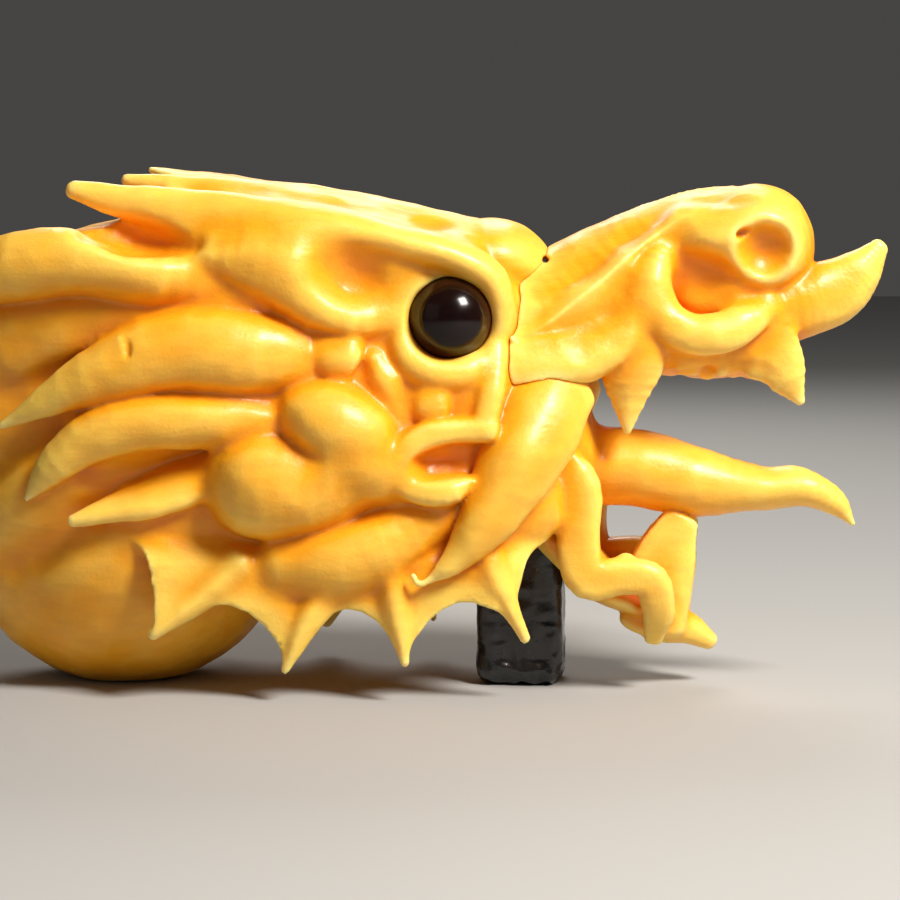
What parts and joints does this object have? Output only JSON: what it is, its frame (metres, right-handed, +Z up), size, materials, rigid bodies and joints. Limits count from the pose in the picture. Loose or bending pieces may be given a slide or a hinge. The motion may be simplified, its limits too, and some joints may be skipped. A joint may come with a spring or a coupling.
{
  "type": "carved pumpkin",
  "caption": "Dragon's head carved from pumpkin, with open jaws, tongue, tusks, swept horns and hair locks, glossy ball eyes and a black post that holds the jaw up.",
  "frame": {"origin": "middle of the bounding box in plan, on the surface it stands on", "axes": "+X out of the dragon's mouth, +Y to the dragon's left, +Z up"},
  "size_m": [0.2382, 0.0998, 0.1282],
  "materials": {
    "pumpkin_flesh": "moist carved pumpkin flesh, pale yellow on the edges and orange in the hollows",
    "eye_gloss": "polished dark brown ball",
    "black_wrap": "black, slightly crinkled film"
  },
  "bodies": {
    "root": {"pumpkin_head": "pumpkin_flesh", "snout": "pumpkin_flesh", "right_eye": "eye_gloss", "left_eye": "eye_gloss", "support_post": "black_wrap"}
  },
  "joints": []
}
